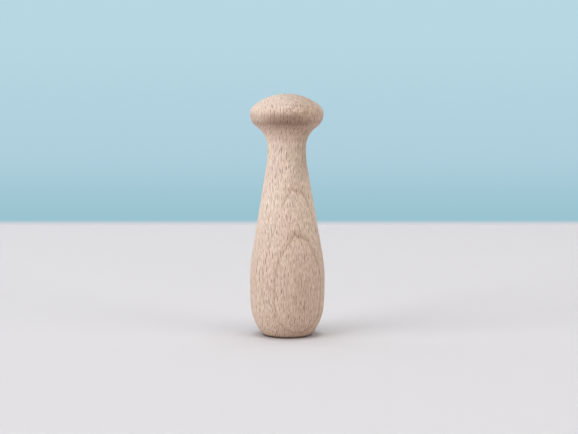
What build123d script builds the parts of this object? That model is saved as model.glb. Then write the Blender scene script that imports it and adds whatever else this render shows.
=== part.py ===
from build123d import *
from math import acos, cos, sin
import os

# A mushroom-headed peg of plain beech, turned in one piece: a small flat foot,
# a round heel, a full belly, a long taper to a slim neck, and a domed cap.
# Sizes are in millimetres. The axis of turning is Z, and the foot stands on Z = 0.

# Driving dimensions

total_height = 97.5

foot_diameter = 19.6
foot_edge_radius = 0.6
heel_height = 12.5  # from the foot to where the heel's round ends
heel_inset = 0.32  # how far the body lies inside the belly's radius at that height

belly_diameter = 30.3
belly_height = 22.7  # from the foot to the widest ring of the body
shoulder_blend = 4.8  # from that ring to where its upright and the taper would cross

neck_diameter = 15.5
neck_blend = 2.2  # from the foot of the neck to where its upright and the taper would cross
neck_length = 2.3  # the stretch of the neck that is straight

cap_diameter = 29.5
cove_radius = 10.0  # the hollow that flares from the neck into the cap
lip_radius = 6.3  # the rounded underside of the cap's rim
rim_radius = 4.5  # the rounded upper side of the cap's rim
dome_rise = 8.1  # from the cap's widest ring to the crown

# Radii and heights that follow from them

foot_radius = foot_diameter / 2
belly_radius = belly_diameter / 2
heel_radius = belly_radius - heel_inset
neck_radius = neck_diameter / 2
cap_radius = cap_diameter / 2
rim_height = total_height - dome_rise

# The profile is drawn in the XZ plane from the crown, where it starts outward.
outward = (1, 0)


def dome_end():
    """The point where the dome, a part of a sphere, runs into the round of the rim."""
    sphere_radius = dome_rise**2 + cap_radius**2 - 2 * rim_radius * cap_radius
    sphere_radius /= 2 * (dome_rise - rim_radius)
    rim_centre = Vector(cap_radius - rim_radius, rim_height)
    sphere_centre = Vector(0, total_height - sphere_radius)
    return rim_centre + (rim_centre - sphere_centre).normalized() * rim_radius


def cove_and_lip():
    """The point where the cove turns into the lip, and the top of the straight neck.

    Both arcs leave an upright, one on the neck and one at the widest ring, so
    how far the cap overhangs the neck sets how far each of them turns.
    """
    overhang = cap_radius - neck_radius
    turn = acos(1 - overhang / (cove_radius + lip_radius))
    meeting = (cap_radius - lip_radius * (1 - cos(turn)), rim_height - lip_radius * sin(turn))
    neck_top = (neck_radius, meeting[1] - cove_radius * sin(turn))
    return meeting, neck_top


def taper_ends(neck_bottom, belly_ring):
    """The upper and lower ends of the straight flank between the neck and the belly."""
    upper_corner = Vector(neck_bottom) - Vector(0, neck_blend)
    lower_corner = Vector(belly_ring) + Vector(0, shoulder_blend)
    slope = (lower_corner - upper_corner).normalized()
    return upper_corner + slope * neck_blend, lower_corner - slope * shoulder_blend


crown = (0, total_height)
rim_ring = (cap_radius, rim_height)
cove_end, neck_top = cove_and_lip()
neck_bottom = (neck_radius, neck_top[1] - neck_length)
belly_ring = (belly_radius, belly_height)
heel_ring = (heel_radius, heel_height)
foot_ring = (foot_radius, 0)
foot_centre = (0, 0)
taper_top, taper_bottom = taper_ends(neck_bottom, belly_ring)

# Each stretch of the profile starts where the one above it ends, in its
# direction, so the turned surface has no edge between the crown and the foot.
with BuildPart() as peg:
    with BuildSketch(Plane.XZ):
        with BuildLine():
            dome = TangentArc(crown, dome_end(), tangent=outward)
            rim = TangentArc(dome @ 1, rim_ring, tangent=dome % 1)
            lip = TangentArc(rim @ 1, cove_end, tangent=rim % 1)
            cove = TangentArc(lip @ 1, neck_top, tangent=lip % 1)
            neck = Line(cove @ 1, neck_bottom)
            flare = TangentArc(neck @ 1, taper_top, tangent=neck % 1)
            taper = Line(flare @ 1, taper_bottom)
            shoulder = TangentArc(taper @ 1, belly_ring, tangent=taper % 1)
            barrel = TangentArc(shoulder @ 1, heel_ring, tangent=shoulder % 1)
            heel = TangentArc(barrel @ 1, foot_ring, tangent=barrel % 1)
            foot = Line(heel @ 1, foot_centre)
            Line(foot @ 1, dome @ 0)
        make_face()
    revolve(axis=Axis.Z)
    foot_edge = peg.edges().filter_by(GeomType.CIRCLE).sort_by(Axis.Z)[0]
    fillet(foot_edge, radius=foot_edge_radius)

os.makedirs("parts", exist_ok=True)
peg.part.label = "peg"
export_step(peg.part, "parts/peg.step")
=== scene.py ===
import math

import bpy
import numpy as np
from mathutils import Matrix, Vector, noise


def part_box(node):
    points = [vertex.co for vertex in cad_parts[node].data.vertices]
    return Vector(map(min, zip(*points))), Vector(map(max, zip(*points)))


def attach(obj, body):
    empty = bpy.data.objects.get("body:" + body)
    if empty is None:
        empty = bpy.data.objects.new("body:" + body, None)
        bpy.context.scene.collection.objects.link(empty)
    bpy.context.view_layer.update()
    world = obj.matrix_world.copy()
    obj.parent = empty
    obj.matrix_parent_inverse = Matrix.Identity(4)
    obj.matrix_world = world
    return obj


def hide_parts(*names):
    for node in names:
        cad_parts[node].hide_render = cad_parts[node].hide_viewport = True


# A mushroom peg turned from one length of raw beech. The CAD peg gives its place
# and size. The peg shown here is the same turned profile on a finer mesh, with
# the faint unevenness of hand sanding, in a beech that is cut by the surface.

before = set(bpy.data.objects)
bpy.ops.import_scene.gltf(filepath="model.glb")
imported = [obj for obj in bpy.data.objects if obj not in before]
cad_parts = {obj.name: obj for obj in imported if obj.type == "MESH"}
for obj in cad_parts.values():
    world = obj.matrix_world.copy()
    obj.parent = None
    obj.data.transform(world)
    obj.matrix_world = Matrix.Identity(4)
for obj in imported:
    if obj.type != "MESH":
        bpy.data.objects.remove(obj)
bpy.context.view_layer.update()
peg_lo, peg_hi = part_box("peg")
MM = 0.001

# ---------------------------------------------------------------- the profile
# The driving dimensions of part.py, in millimetres. The total height and the
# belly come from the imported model.

total_height = (peg_hi.z - peg_lo.z) / MM
belly_radius = (peg_hi.x - peg_lo.x) / 2 / MM
foot_radius = 9.8
foot_edge_radius = 0.6
heel_height = 12.5
heel_inset = 0.32
belly_height = 22.7
shoulder_blend = 4.8
neck_radius = 7.75
neck_blend = 2.2
neck_length = 2.3
cap_radius = 14.75
cove_radius = 10.0
lip_radius = 6.3
rim_radius = 4.5
dome_rise = 8.1

RING_STEP = 0.42  # millimetres between the mesh's rings, along the profile
SEGMENTS = 224  # round each ring


def unit(vector):
    return vector / np.hypot(*vector)


def left_of(direction):
    return np.array([-direction[1], direction[0]])


def steps(length):
    return max(2, math.ceil(length / RING_STEP))


def line_to(path, end):
    """Adds a straight run from the path's last point to end. Returns its direction."""
    start = path[-1]
    run = np.subtract(end, start)
    count = steps(np.hypot(*run))
    for k in range(1, count + 1):
        path.append(tuple(start + run * (k / count)))
    return unit(run)


def arc_to(path, end, along):
    """Adds the arc that leaves the path's last point in the direction along and ends at end.
    Returns the direction at its end."""
    start = np.array(path[-1])
    chord = np.subtract(end, start)
    across = left_of(along)
    turn = 2 * math.atan2(chord @ across, chord @ along)
    radius = chord @ chord / (2 * chord @ across)
    count = steps(abs(radius * turn))
    for k in range(1, count + 1):
        angle = turn * k / count
        reached = math.sin(angle) * along + (1 - math.cos(angle)) * across
        path.append(tuple(start + radius * reached))
    return math.cos(turn) * along + math.sin(turn) * across


def turned_profile():
    """The (radius, height) points from the crown to the centre of the foot, in millimetres."""
    rim_height = total_height - dome_rise
    sphere_radius = dome_rise**2 + cap_radius**2 - 2 * rim_radius * cap_radius
    sphere_radius /= 2 * (dome_rise - rim_radius)
    rim_centre = np.array([cap_radius - rim_radius, rim_height])
    sphere_centre = [0, total_height - sphere_radius]
    dome_end = rim_centre + unit(rim_centre - sphere_centre) * rim_radius

    turn = math.acos(1 - (cap_radius - neck_radius) / (cove_radius + lip_radius))
    lip_inset = lip_radius * (1 - math.cos(turn))
    lip_end = (cap_radius - lip_inset, rim_height - lip_radius * math.sin(turn))
    neck_top = (neck_radius, lip_end[1] - cove_radius * math.sin(turn))
    neck_bottom = (neck_radius, neck_top[1] - neck_length)

    upper = np.array([neck_radius, neck_bottom[1] - neck_blend])
    lower = np.array([belly_radius, belly_height + shoulder_blend])
    slope = unit(lower - upper)

    path = [(0.0, total_height)]
    along = arc_to(path, dome_end, np.array([1.0, 0.0]))
    along = arc_to(path, (cap_radius, rim_height), along)
    along = arc_to(path, lip_end, along)
    along = arc_to(path, neck_top, along)
    along = line_to(path, neck_bottom)
    along = arc_to(path, upper + slope * neck_blend, along)
    along = line_to(path, lower - slope * shoulder_blend)
    along = arc_to(path, (belly_radius, belly_height), along)
    heel_ring = (belly_radius - heel_inset, heel_height)
    along = arc_to(path, heel_ring, along)

    # The heel's arc stops where the round of the foot's edge touches it.
    across = left_of(along)
    chord = np.subtract((foot_radius, 0), heel_ring)
    radius = abs(chord @ chord / (2 * chord @ across))
    heel_centre = np.array(heel_ring) + across * math.copysign(radius, chord @ across)
    rise = foot_edge_radius - heel_centre[1]
    reach = math.sqrt((radius - foot_edge_radius) ** 2 - rise**2)
    edge_centre = np.array([heel_centre[0] + reach, foot_edge_radius])
    touch = edge_centre + unit(edge_centre - heel_centre) * foot_edge_radius
    along = arc_to(path, touch, along)
    arc_to(path, (edge_centre[0], 0), along)
    line_to(path, (0, 0))
    return np.array(path)


# ---------------------------------------------------------------- the mesh
# How deep the turning, the sanding and the drying go, in millimetres.

TOOL_MARKS = 0.007
SANDING = 0.03
FINE_SANDING = 0.006
SHRINKAGE = 0.05  # where it is largest
SHRINKS_AT = 0.3  # radians from straight back, and the same from straight front
EVEN_FOOT = 2  # the unevenness fades out over this height
BOW = 0.2
BOW_FROM = 30
BOW_LENGTH = 50

# The texture map has three islands: the dome seen from above, the flank unrolled, and the foot.
DOME_SHARE = 0.9  # of the cap's radius
DOME_CENTRE = (0.86, 0.84)
FOOT_CENTRE = (0.86, 0.5)
DISC_SCALE = 0.8  # of the flank's scale
FLANK_LEFT = 0.02
FLANK_TOP = 0.98
FLANK_WIDTH = 0.7
FLANK_HEIGHT = 0.96


def unevenness(point, height, angle):
    """How far the sanded surface stands off the true turning, in millimetres. It is negative,
    inwards, nearly everywhere."""
    wobble = 1.3 * math.sin(height * 0.31) + 0.4 * math.sin(angle)
    marks = 0.5 + 0.5 * math.sin(height * 2.1 + wobble)
    sanding = noise.noise(Vector((point[0] * 0.11, point[1] * 0.11, height * 0.07 + 5)))
    fine = noise.noise(Vector((point[0] * 0.45, point[1] * 0.45, height * 0.3 + 40)))
    shrinkage = 0.5 + 0.5 * math.cos(2 * (angle - SHRINKS_AT))
    sink = TOOL_MARKS * marks + SANDING * (0.5 + sanding) + FINE_SANDING * (0.5 + fine)
    return -(sink + SHRINKAGE * shrinkage)


def bow(height):
    """How far the wood has bent sideways in drying at this height, in millimetres."""
    t = min(1.0, max(0.0, (height - BOW_FROM) / BOW_LENGTH))
    return -BOW * t * t * (3 - 2 * t)


def surface_points(path):
    """The mesh's rings from the crown down, then the crown and the centre of the foot."""
    side = np.gradient(path, axis=0)
    side /= np.hypot(side[:, 0], side[:, 1])[:, None]
    points = []
    for (radius, height), (side_r, side_z) in zip(path[1:-1], side[1:-1]):
        for s in range(SEGMENTS):
            angle = 2 * math.pi * s / SEGMENTS
            across, back = math.sin(angle), math.cos(angle)
            sink = unevenness((radius * across, radius * back), height, angle)
            sink *= min(1, height / EVEN_FOOT)
            reach = radius - side_z * sink
            points.append((bow(height) + reach * across, reach * back, height + side_r * sink))
    crown_height = total_height + unevenness((0, 0), total_height, 0)
    points.append((bow(total_height), 0, crown_height))
    points.append((0, 0, 0))
    return points


def turn_peg():
    path = turned_profile()
    points = surface_points(path)
    crown, foot = len(points) - 2, len(points) - 1
    rings = len(path) - 2

    # The dome's island ends at the ring top, and the foot's starts at the ring base.
    travel = np.concatenate([[0], np.cumsum(np.hypot(*np.diff(path, axis=0).T))])
    top = next(r for r in range(len(path)) if path[r][0] > cap_radius * DOME_SHARE)
    base = next(r for r in range(len(path) - 1, 0, -1) if path[r][1] > 0.001) + 1
    per_mm = FLANK_HEIGHT / (travel[base] - travel[top])

    def disc_uv(r, s, centre, start, sign):
        angle = 2 * math.pi * s / SEGMENTS
        reach = abs(travel[r] - start) * per_mm * DISC_SCALE
        return centre[0] + sign * reach * math.sin(angle), centre[1] + reach * math.cos(angle)

    def uv(r, s, island):
        if island == "dome":
            return disc_uv(r, s, DOME_CENTRE, 0, 1)
        if island == "foot":
            return disc_uv(r, s, FOOT_CENTRE, travel[-1], -1)
        down = (travel[r] - travel[top]) * per_mm
        return FLANK_LEFT + FLANK_WIDTH * s / SEGMENTS, FLANK_TOP - down

    faces, corners = [], []
    for r in range(rings + 1):
        island = "dome" if r < top else "flank" if r < base else "foot"
        for s in range(SEGMENTS):
            t = s + 1
            upper = [(r - 1) * SEGMENTS + s, (r - 1) * SEGMENTS + t % SEGMENTS]
            lower = [r * SEGMENTS + s, r * SEGMENTS + t % SEGMENTS]
            if r == 0:
                face = (crown, lower[1], lower[0])
                places = ((0, s), (1, t), (1, s))
            elif r == rings:
                face = (foot, upper[0], upper[1])
                places = ((r + 1, s), (r, s), (r, t))
            else:
                face = (upper[0], upper[1], lower[1], lower[0])
                places = ((r, s), (r, t), (r + 1, t), (r + 1, s))
            faces.append(face)
            corners += [uv(*place, island) for place in places]

    mesh = bpy.data.meshes.new("turned_peg")
    mesh.from_pydata([tuple(c * MM for c in p) for p in points], [], faces)
    mesh.polygons.foreach_set("use_smooth", [True] * len(faces))
    layer = mesh.uv_layers.new(name="OFBake")
    layer.data.foreach_set("uv", np.array(corners, np.float32).ravel())
    mesh.update()
    peg = bpy.data.objects.new("turned_peg", mesh)
    bpy.context.scene.collection.objects.link(peg)
    return peg


# ---------------------------------------------------------------- the beech


class Graph:
    """Adds nodes to a material or world and wires them. An input is a socket, a number or a
    tuple."""

    def __init__(self, owner):
        owner.use_nodes = True
        self.tree = owner.node_tree
        self.tree.nodes.clear()

    def put(self, socket, value):
        if isinstance(value, bpy.types.NodeSocket):
            self.tree.links.new(value, socket)
        else:
            socket.default_value = value

    def add(self, kind, inputs=None, **settings):
        node = self.tree.nodes.new(kind)
        for name, value in settings.items():
            setattr(node, name, value)
        for name, value in (inputs or {}).items():
            self.put(node.inputs[name], value)
        return node

    def math(self, operation, *values):
        inputs = dict(enumerate(values))
        return self.add("ShaderNodeMath", inputs, operation=operation).outputs[0]

    def product(self, first, *others):
        for other in others:
            first = self.math("MULTIPLY", first, other)
        return first

    def distance(self, value, level):
        """How far the value is from the level, either way."""
        return self.math("ABSOLUTE", self.math("SUBTRACT", value, level))

    def vector(self, operation, *values):
        node = self.add("ShaderNodeVectorMath", dict(enumerate(values)), operation=operation)
        return node.outputs["Value" if operation in ("LENGTH", "DOT_PRODUCT") else "Vector"]

    def scaled(self, point, scale, shift=(0.0, 0.0, 0.0)):
        return self.vector("MULTIPLY_ADD", point, scale, shift)

    def noise(self, point, detail=2.0, roughness=0.5):
        """Noise between about -1 and 1, in cells of one unit."""
        inputs = {"Vector": point, "Scale": 1.0, "Detail": detail, "Roughness": roughness}
        raw = self.add("ShaderNodeTexNoise", inputs).outputs["Fac"]
        return self.math("MULTIPLY_ADD", raw, 2.0, -1.0)

    def smooth(self, value, start, end, at_start=0.0, at_end=1.0):
        """A soft step: at_start where the value is at start, and at_end where it is at end."""
        inputs = {"Value": value, "From Min": start, "From Max": end}
        inputs |= {"To Min": at_start, "To Max": at_end}
        node = self.add("ShaderNodeMapRange", inputs, interpolation_type="SMOOTHSTEP")
        return node.outputs["Result"]

    def within(self, *edges):
        """The product of soft steps, each given as smooth takes it."""
        return self.product(*(self.smooth(*edge) for edge in edges))

    def parts(self, point):
        return self.add("ShaderNodeSeparateXYZ", {"Vector": point}).outputs

    def blend(self, amount, first, second, blend_type="MIX"):
        # A colour mix has its factor at input 0 and its two colours at inputs 6 and 7.
        node = self.add("ShaderNodeMix", data_type="RGBA", blend_type=blend_type)
        for index, value in ((0, amount), (6, first), (7, second)):
            self.put(node.inputs[index], value)
        return node.outputs[2]

    def tint(self, colour, amount, towards):
        """The colour multiplied by towards, as far as amount says."""
        return self.blend(amount, colour, (*towards, 1), "MULTIPLY")

    def by_camera(self):
        """1 for what the camera sees directly, and 0 for light that falls on other things."""
        return self.add("ShaderNodeLightPath").outputs["Is Camera Ray"]

    def mixed(self, amount, first, second):
        return self.add("ShaderNodeMixShader", {0: amount, 1: first, 2: second}).outputs[0]


BARK_SIDE = 20  # degrees from the viewer's side round to the bark, on the right
GRAIN_LEAN = (-1.0, -0.6)  # degrees: the rings come nearer to the viewer towards the top

# Lengths in millimetres
PITH = 60.0  # from the peg's axis back to the pith
RING_AT = 12.0  # from the axis out to where one ring ends
RING_WIDTH = 3.4
RING_SWAY = 0.4
RING_JAGS = 0.18
RING_TEETH = 0.28  # the steps in a ring's edge from one ray to the next
BACK_RINGS = 1.5  # how much more room the rings at the back take up
BACK_DROP = 1.9  # about half the distance from one bold ray to the next
DOME_SHIFT = 0.4  # of the rays on the dome, for each millimetre further out
OVAL_AT = (4.444, 91.688)  # to the right and up
OVAL_REACH = (1 / 0.45, 1 / 0.77)

SHOW_AT = (1.0, 5.0, 8.0)  # the place in the noise that says where the rings show

TWO_BEECHES = ((0.748, 0.577, 0.472, 1), (0.741, 0.582, 0.462, 1))


def tone_and_painted_light(g, right, z, mottle):
    """The places where the wood is paler or darker than elsewhere, each with its tint. The neck
    is painted paler and cooler, as painted light and sheen, a streak on it is pale, and the left
    of the dome is painted light. The right of the neck and of the dome are painted shade. The
    crown is a little duller, and the right of the dome is mottled too. The rim is painted shade,
    darkest at the front and back, with a dark line under it. The low heel is painted shade, and
    the foot's edge a painted contact shadow."""
    off_streak = g.distance(right, -1.2)
    off_middle = g.math("ABSOLUTE", right)
    rim_reach = g.smooth(off_middle, 3.0, 13.0, 3.3, 2.0)
    off_rim = g.math("DIVIDE", g.distance(z, 87.6), rim_reach)
    lip = g.math("ADD", z, g.smooth(right, -6.0, -12.0, 0.0, 0.8))

    # Painted light and sheen: the taper and the neck are painted paler and cooler.
    painted_light_neck = g.within((z, 28.0, 56.0), (z, 84.5, 76.0))
    pale_streak = g.within((z, 57.0, 64.0), (z, 76.0, 70.0), (off_streak, 3.6, 1.0))
    # Painted shade: the right of the neck is painted darker.
    painted_shade_neck = g.within((z, 60.0, 72.0), (z, 86.0, 82.0), (right, 1.0, 7.0), (right, 10.5, 7.8))
    # Painted light: the left of the dome is painted paler.
    painted_light_dome = g.within((z, 89.5, 92.0), (right, 2.0, -6.0))
    # Painted shade: the right of the dome, low down, is painted darker.
    painted_shade_dome = g.within((z, 88.2, 89.8), (right, 1.0, 6.0), (right, 14.0, 9.0))
    crown = g.smooth(z, 90.5, 93.5)
    mottled = g.within((z, 87.0, 90.0), (right, -4.0, 4.0, 0.35, 1.0), (mottle, -0.15, 0.35))
    # Painted shade: a dark band round the rim, darkest at the front and back.
    painted_shade_rim = g.within((off_rim, 1.45, 0.3), (off_middle, 13.0, 3.0, 0.2, 0.93))
    lip_line = g.within((lip, 88.4, 86.8), (lip, 85.2, 86.4), (right, 13.0, 7.0, 0.4, 1.0))
    # Painted shade: the lowest part of the heel, near the table, is painted darker.
    painted_shade_heel = g.smooth(z, 6.0, 0.0)
    # Painted shadow: the foot's edge is painted nearly black where it meets the table.
    painted_contact_shadow = g.smooth(z, 1.4, 0.6)

    return (
        (painted_light_neck, (1.15, 1.19, 1.22)),
        (pale_streak, (1.09, 1.09, 1.09)),
        (painted_shade_neck, (0.79, 0.77, 0.75)),
        (painted_light_dome, (1.12, 1.13, 1.14)),
        (painted_shade_dome, (0.945, 0.915, 0.89)),
        (crown, (0.92, 0.94, 0.965)),
        (mottled, (0.86, 0.82, 0.79)),
        (painted_shade_rim, (0.60, 0.54, 0.495)),
        (lip_line, (0.77, 0.75, 0.73)),
        (painted_shade_heel, (0.90, 0.87, 0.83)),
        (painted_contact_shadow, (0.24, 0.18, 0.14)),
    )


def raw_beech():
    material = bpy.data.materials.new("raw_beech")
    g = Graph(material)
    place = g.add("ShaderNodeTexCoord").outputs
    here = g.scaled(place["Object"], (1 / MM,) * 3)
    right = g.parts(here)[0]

    # Wood coordinates in millimetres: x across the rays to the viewer's left, y outwards to the
    # bark, z up the grain.
    turned = tuple(math.radians(angle) for angle in (*GRAIN_LEAN, 180 - BARK_SIDE))
    wood = g.add(
        "ShaderNodeMapping",
        {"Vector": place["Object"], "Rotation": turned, "Scale": (1 / MM,) * 3},
    ).outputs["Vector"]
    x, y, z = g.parts(wood)

    # How squarely the surface faces the bark or the pith, whatever its tilt.
    off_pith = g.scaled(wood, (1.0, 1.0, 0.0), (0.0, PITH, 0.0))
    outwards = g.vector("NORMALIZE", off_pith)
    normal = g.add(
        "ShaderNodeMapping",
        {"Vector": place["Normal"], "Rotation": turned},
        vector_type="NORMAL",
    ).outputs["Vector"]
    level = g.vector("NORMALIZE", g.scaled(normal, (1.0, 1.0, 0.0)))
    facing = g.math("ABSOLUTE", g.vector("DOT_PRODUCT", level, outwards))

    # Rays run out from the pith as upright ribbons, so they cross the surface as short dashes.
    # On the dome, where they would run on as long lines, they are broken up on the way out as
    # well. Those of the back half lie about half a ray lower, so that the halves of a side don't
    # mirror.
    depth = g.math("SUBTRACT", g.vector("LENGTH", off_pith), PITH + RING_AT)
    bearing = g.math("ARCTAN2", x, g.math("ADD", y, PITH))
    round_pith = g.math("MULTIPLY", bearing, PITH)
    off_axis = g.distance(depth, -RING_AT)
    climb = g.math("MULTIPLY_ADD", off_axis, g.smooth(z, 88.0, 91.0, 0.0, -DOME_SHIFT), z)
    climb = g.math("ADD", climb, g.smooth(y, 1.5, -4.5, 0.0, BACK_DROP))

    def rays(width, height, column, row, seed):
        """How strongly each point lies in a ray, how strongly it lies beside one, and a number
        from 0 to 1 for each ray's surroundings. A ray is an upright spindle of width by height,
        with one in each cell of column by row, all in millimetres."""
        wander = g.noise(g.scaled(wood, (0.1, 0.03, 0.07), (seed, 0.0, 0.0)), 2.0)
        across = g.math("DIVIDE", g.math("MULTIPLY_ADD", wander, 0.8, round_pith), column)
        along = g.math("MULTIPLY_ADD", climb, 1 / row, seed)
        spot = g.add("ShaderNodeCombineXYZ", {"X": across, "Y": along}).outputs[0]
        cell = g.add(
            "ShaderNodeTexVoronoi",
            {"Vector": spot, "Scale": 1.0, "Randomness": 0.75},
            voronoi_dimensions="2D",
        ).outputs
        length, surroundings, boldness = g.parts(cell["Color"])
        aside, above, _ = g.parts(g.vector("SUBTRACT", spot, cell["Position"]))
        aside = g.math("ABSOLUTE", g.math("MULTIPLY", aside, 2 * column / width))
        squeeze = g.smooth(length, 0.0, 1.0, 2.8 * row / height, 1.5 * row / height)
        above = g.math("MULTIPLY", above, squeeze)
        out = g.math("MULTIPLY_ADD", above, above, aside)
        own_place = g.scaled(cell["Color"], (9.0,) * 3)
        fading = g.noise(g.vector("ADD", g.scaled(wood, (0.0, 0.12, 0.0)), own_place), 0.0)
        strength = g.within((fading, -0.5, 0.1, 0.45, 1.0), (boldness, 0.0, 1.0, 0.4, 1.0))
        inside = g.math("MULTIPLY", g.smooth(out, 1.0, 0.35), strength)
        beside = g.math("MULTIPLY", g.within((out, 0.8, 1.4), (out, 2.6, 1.8)), strength)
        return inside, beside, surroundings

    bold, pale, surroundings = rays(width=0.32, height=3.4, column=1.0, row=3.7, seed=4.0)
    small, _, _ = rays(width=0.26, height=2.6, column=0.62, row=2.8, seed=11.0)

    # Growth rings are tubes round the pith. A ring is pale at its inner face and dark at its
    # outer one. Its edge steps from one ray to the next, which gives the line teeth. The rings
    # are a little wider at the back, on the pith's side.
    sway = g.noise(g.scaled(wood, (0.05, 0.05, 0.018), (3.1, 7.7, 2.0)), 1.0)
    jagged = g.noise(g.scaled(wood, (1.3, 0.4, 0.2)), 2.0, 0.6)
    growth = g.math("MULTIPLY_ADD", sway, RING_SWAY, depth)
    growth = g.math("MULTIPLY_ADD", jagged, RING_JAGS, growth)
    growth = g.math("MULTIPLY_ADD", surroundings, RING_TEETH, growth)
    growth = g.math("ADD", growth, g.smooth(y, -4.0, -15.0, 0.0, BACK_RINGS))
    phase = g.math("FRACT", g.math("DIVIDE", growth, RING_WIDTH))

    # The rings show less in places, on the sides, on the left and towards the top.
    show = g.noise(g.scaled(wood, (0.07, 0.16, 0.02), SHOW_AT), 1.0)
    on_left = g.smooth(z, 40.0, 48.0, 0.65, 0.25)
    show = g.within(
        (show, -0.35, 0.35, 0.6, 1.0),
        (facing, 0.62, 0.8, 0.12, 1.0),
        (x, 2.0, 7.0, 1.0, on_left),
        (z, 58.0, 64.0, 1.0, 0.3),
    )
    late = g.math("MULTIPLY", g.smooth(phase, 0.72, 0.98), show)
    early = g.math("MULTIPLY", g.smooth(phase, 0.4, 0.0), show)
    line = g.within(
        (g.distance(phase, 0.5), 0.43, 0.485),
        (z, 4.0, 18.0, 0.4, 1.0),
        (z, 42.0, 50.0, 1.0, 0.65),
    )
    line = g.math("MULTIPLY", line, show)

    # A ray that is cut across is dark. It fades where it lies flat in the surface, on the sides,
    # and most of all in the cap, where the surface would draw it out into long lines.
    lying_flat = g.smooth(z, 80.0, 86.0, 0.25, 0.08)
    cut_across = g.smooth(facing, 0.1, 0.7, lying_flat, 1.0)
    bold = g.product(bold, cut_across, g.smooth(z, 50.0, 75.0, 0.88, 1.0))
    pale = g.math("MULTIPLY", pale, cut_across)
    small = g.math("MULTIPLY", small, cut_across)

    # On the front of the dome one ring barely breaks the surface: a small pale oval with a dark
    # edge.
    oval_scale = (1 / OVAL_REACH[0], 0.0, 1 / OVAL_REACH[1])
    oval_shift = (-OVAL_AT[0] / OVAL_REACH[0], 0.0, -OVAL_AT[1] / OVAL_REACH[1])
    from_oval = g.vector("LENGTH", g.scaled(here, oval_scale, oval_shift))
    from_oval = g.math("MULTIPLY_ADD", jagged, 0.4, from_oval)
    front = (y, 2.0, 5.0)
    oval = g.within((from_oval, 1.0, 0.6), front)
    oval_edge = g.within((g.distance(from_oval, 1.2), 0.4, 0.1), front)

    fibre = g.noise(g.scaled(wood, (3.0, 3.0, 0.36)), 1.0, 0.5)
    streak = g.noise(g.scaled(wood, (0.9, 0.9, 0.035), (5.0, 1.0, 0.0)), 1.0)
    patch = g.noise(g.scaled(wood, (0.2, 0.2, 0.09), (1.0, 2.0, 3.0)), 2.0)
    mottle = g.noise(g.scaled(wood, (1.1, 0.4, 0.8), (2.0, 8.0, 5.0)), 1.0)
    blush = g.noise(g.scaled(wood, (0.13, 0.13, 0.06), (9.0, 4.0, 6.0)), 0.0)

    colour = g.blend(g.smooth(blush, -0.5, 0.5), *TWO_BEECHES)
    for amount, towards in (
        (g.smooth(patch, -0.6, 0.7), (0.95, 0.94, 0.93)),
        *tone_and_painted_light(g, right, z, mottle),
        (oval, (1.07, 1.08, 1.09)),
        (oval_edge, (0.86, 0.82, 0.79)),
        (early, (1.07, 1.08, 1.09)),
        (late, (0.82, 0.78, 0.73)),
        (line, (0.74, 0.67, 0.61)),
        (g.smooth(streak, -0.5, 0.5), (0.92, 0.91, 0.90)),
        (g.smooth(fibre, -0.5, 0.5), (0.74, 0.71, 0.68)),
        (pale, (1.09, 1.11, 1.13)),
        (small, (0.60, 0.54, 0.49)),
        (bold, (0.37, 0.30, 0.24)),
    ):
        colour = g.tint(colour, amount, towards)

    roughness = g.math("MULTIPLY_ADD", fibre, 0.05, 0.62)
    roughness = g.math("MULTIPLY_ADD", bold, -0.08, roughness)
    grain = g.math("MULTIPLY_ADD", fibre, 0.012, g.math("MULTIPLY", bold, -0.02))
    relief = g.add("ShaderNodeBump", {"Height": grain, "Strength": 0.6, "Distance": MM})
    shader = g.add(
        "ShaderNodeBsdfPrincipled",
        {"Base Color": colour, "Roughness": roughness, "Normal": relief.outputs["Normal"]},
    )
    g.add("ShaderNodeOutputMaterial", {"Surface": shader.outputs[0]})
    return material


peg = turn_peg()
peg.data.materials.append(raw_beech())
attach(peg, "root")
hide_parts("peg")

# ---------------------------------------------------------------- the set
# Lengths in metres

HALF_WIDTH = 3  # of the table and the wall
TABLE_BACK = 0.378
WALL_AT = 0.8
WALL_FOOT = -1.5
WALL_TOP = 2.5
EDGE_ON_WALL = -0.0498  # the height at which the camera sees the table's far edge on the wall
EDGE_BLUR = 0.0054
CAMERA_AT = (0.0007, -0.643, 0.1204)
LOOKS_DOWN = 6.434  # degrees
LAMPS_FACE = Vector((0, 0, 0.05))
LAMP_DISTANCE = 3.0

# SURROUNDINGS is what the camera sees beyond the set. The next colours are those that it sees
# on the wall and the table, and the last two colour the light that they throw on the peg.
SURROUNDINGS = (0.77, 0.76, 0.76, 1)
WALL_LOW = (0.320, 0.545, 0.627, 1)
WALL_MIDDLE = (0.440, 0.631, 0.730, 1)
WALL_HIGH = (0.474, 0.680, 0.768, 1)
WALL_AT_EDGE = (0.69, 0.69, 0.71, 1)
TABLE_SEEN = (0.634, 0.611, 0.617, 1)
WALL_THROWS = (0.55, 0.61, 0.65, 1)
TABLE_THROWS = (0.51, 0.455, 0.447, 1)


def sheet(name, corners, material):
    mesh = bpy.data.meshes.new(name)
    mesh.from_pydata(corners, [], [(0, 1, 2, 3)])
    mesh.materials.append(material)
    thing = bpy.data.objects.new(name, mesh)
    bpy.context.scene.collection.objects.link(thing)
    return thing


def pale_wall():
    """A wall that the camera sees as paper, a little darker near the table, where the table's far
    edge runs into it softly."""
    material = bpy.data.materials.new("pale_wall")
    g = Graph(material)
    height = g.parts(g.add("ShaderNodeTexCoord").outputs["Object"])[2]
    tone = g.blend(g.smooth(height, -0.055, 0.03), WALL_LOW, WALL_MIDDLE)
    tone = g.blend(g.smooth(height, 0.02, 0.13), tone, WALL_HIGH)
    at_edge = g.smooth(height, EDGE_ON_WALL + EDGE_BLUR, EDGE_ON_WALL)
    tone = g.blend(at_edge, tone, WALL_AT_EDGE)
    seen = g.add("ShaderNodeEmission", {"Color": tone, "Strength": 1.0}).outputs[0]
    lit = g.add("ShaderNodeBsdfDiffuse", {"Color": WALL_THROWS}).outputs[0]
    g.add("ShaderNodeOutputMaterial", {"Surface": g.mixed(g.by_camera(), lit, seen)})
    return material


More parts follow.
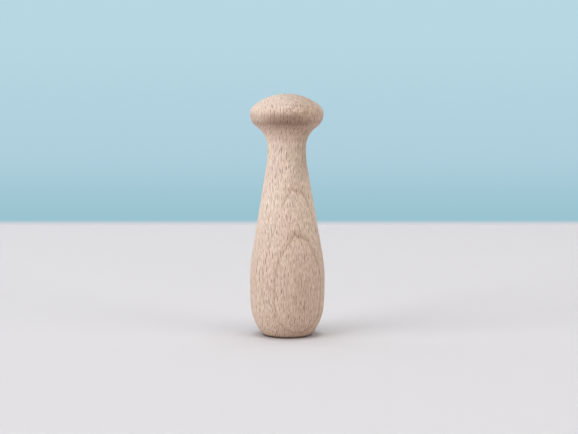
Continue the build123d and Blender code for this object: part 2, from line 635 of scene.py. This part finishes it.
def pale_table():
    """A white-washed table that sends less light up to the peg than it shows the camera. Far
    from the peg it runs into the pale surroundings."""
    material = bpy.data.materials.new("pale_table")
    g = Graph(material)
    by_camera = g.by_camera()
    tone = g.blend(by_camera, TABLE_THROWS, TABLE_SEEN)
    near = g.add("ShaderNodeBsdfDiffuse", {"Color": tone}).outputs[0]
    far = g.add("ShaderNodeEmission", {"Color": SURROUNDINGS, "Strength": 1.0}).outputs[0]
    away = g.vector("LENGTH", g.add("ShaderNodeTexCoord").outputs["Object"])
    seen_far = g.math("MULTIPLY", g.smooth(away, 0.5, 1.0), by_camera)
    g.add("ShaderNodeOutputMaterial", {"Surface": g.mixed(seen_far, near, far)})
    return material


def pale_world():
    """Even light from all round. The camera sees it paler than the light that it gives."""
    world = bpy.data.worlds.new("studio")
    g = Graph(world)
    white = (1, 1, 1, 1)
    light = g.add("ShaderNodeBackground", {"Color": white, "Strength": 0.28}).outputs[0]
    seen = g.add("ShaderNodeBackground", {"Color": SURROUNDINGS, "Strength": 1.0}).outputs[0]
    g.add("ShaderNodeOutputWorld", {"Surface": g.mixed(g.by_camera(), light, seen)})
    return world


def lamp(name, azimuth, elevation, size, watts, colour):
    """A soft square lamp that faces the peg. Azimuth 0 is on the viewer's side, and 90 on the
    right."""
    a, e = math.radians(azimuth), math.radians(elevation)
    away = Vector((math.sin(a) * math.cos(e), -math.cos(a) * math.cos(e), math.sin(e)))
    data = bpy.data.lights.new(name, "AREA")
    data.size = size
    data.energy = watts
    data.color = colour
    thing = bpy.data.objects.new(name, data)
    thing.location = LAMPS_FACE + away * LAMP_DISTANCE
    thing.rotation_euler = away.to_track_quat("Z", "Y").to_euler()
    thing.visible_camera = False
    bpy.context.scene.collection.objects.link(thing)


sheet(
    "floor",
    [
        (-HALF_WIDTH, -HALF_WIDTH, 0),
        (HALF_WIDTH, -HALF_WIDTH, 0),
        (HALF_WIDTH, TABLE_BACK, 0),
        (-HALF_WIDTH, TABLE_BACK, 0),
    ],
    pale_table(),
)
wall = sheet(
    "wall",
    [
        (-HALF_WIDTH, WALL_AT, WALL_FOOT),
        (HALF_WIDTH, WALL_AT, WALL_FOOT),
        (HALF_WIDTH, WALL_AT, WALL_TOP),
        (-HALF_WIDTH, WALL_AT, WALL_TOP),
    ],
    pale_wall(),
)
wall.visible_shadow = False

lamp("left", azimuth=-60, elevation=15, size=2.4, watts=82, colour=(1.0, 1.03, 1.08))
lamp("right", azimuth=60, elevation=15, size=2.0, watts=36, colour=(1.03, 1.0, 0.95))
lamp("overhead", azimuth=0, elevation=88, size=1.6, watts=48, colour=(1.0, 1.0, 1.0))

bpy.context.scene.world = pale_world()

camera = bpy.data.objects.new("camera", bpy.data.cameras.new("camera"))
bpy.context.scene.collection.objects.link(camera)
camera.data.lens = 100
camera.data.sensor_width = 36
camera.location = CAMERA_AT
camera.rotation_euler = (math.radians(90 - LOOKS_DOWN), 0, 0)
bpy.context.scene.camera = camera
bpy.context.scene.view_settings.view_transform = "Standard"
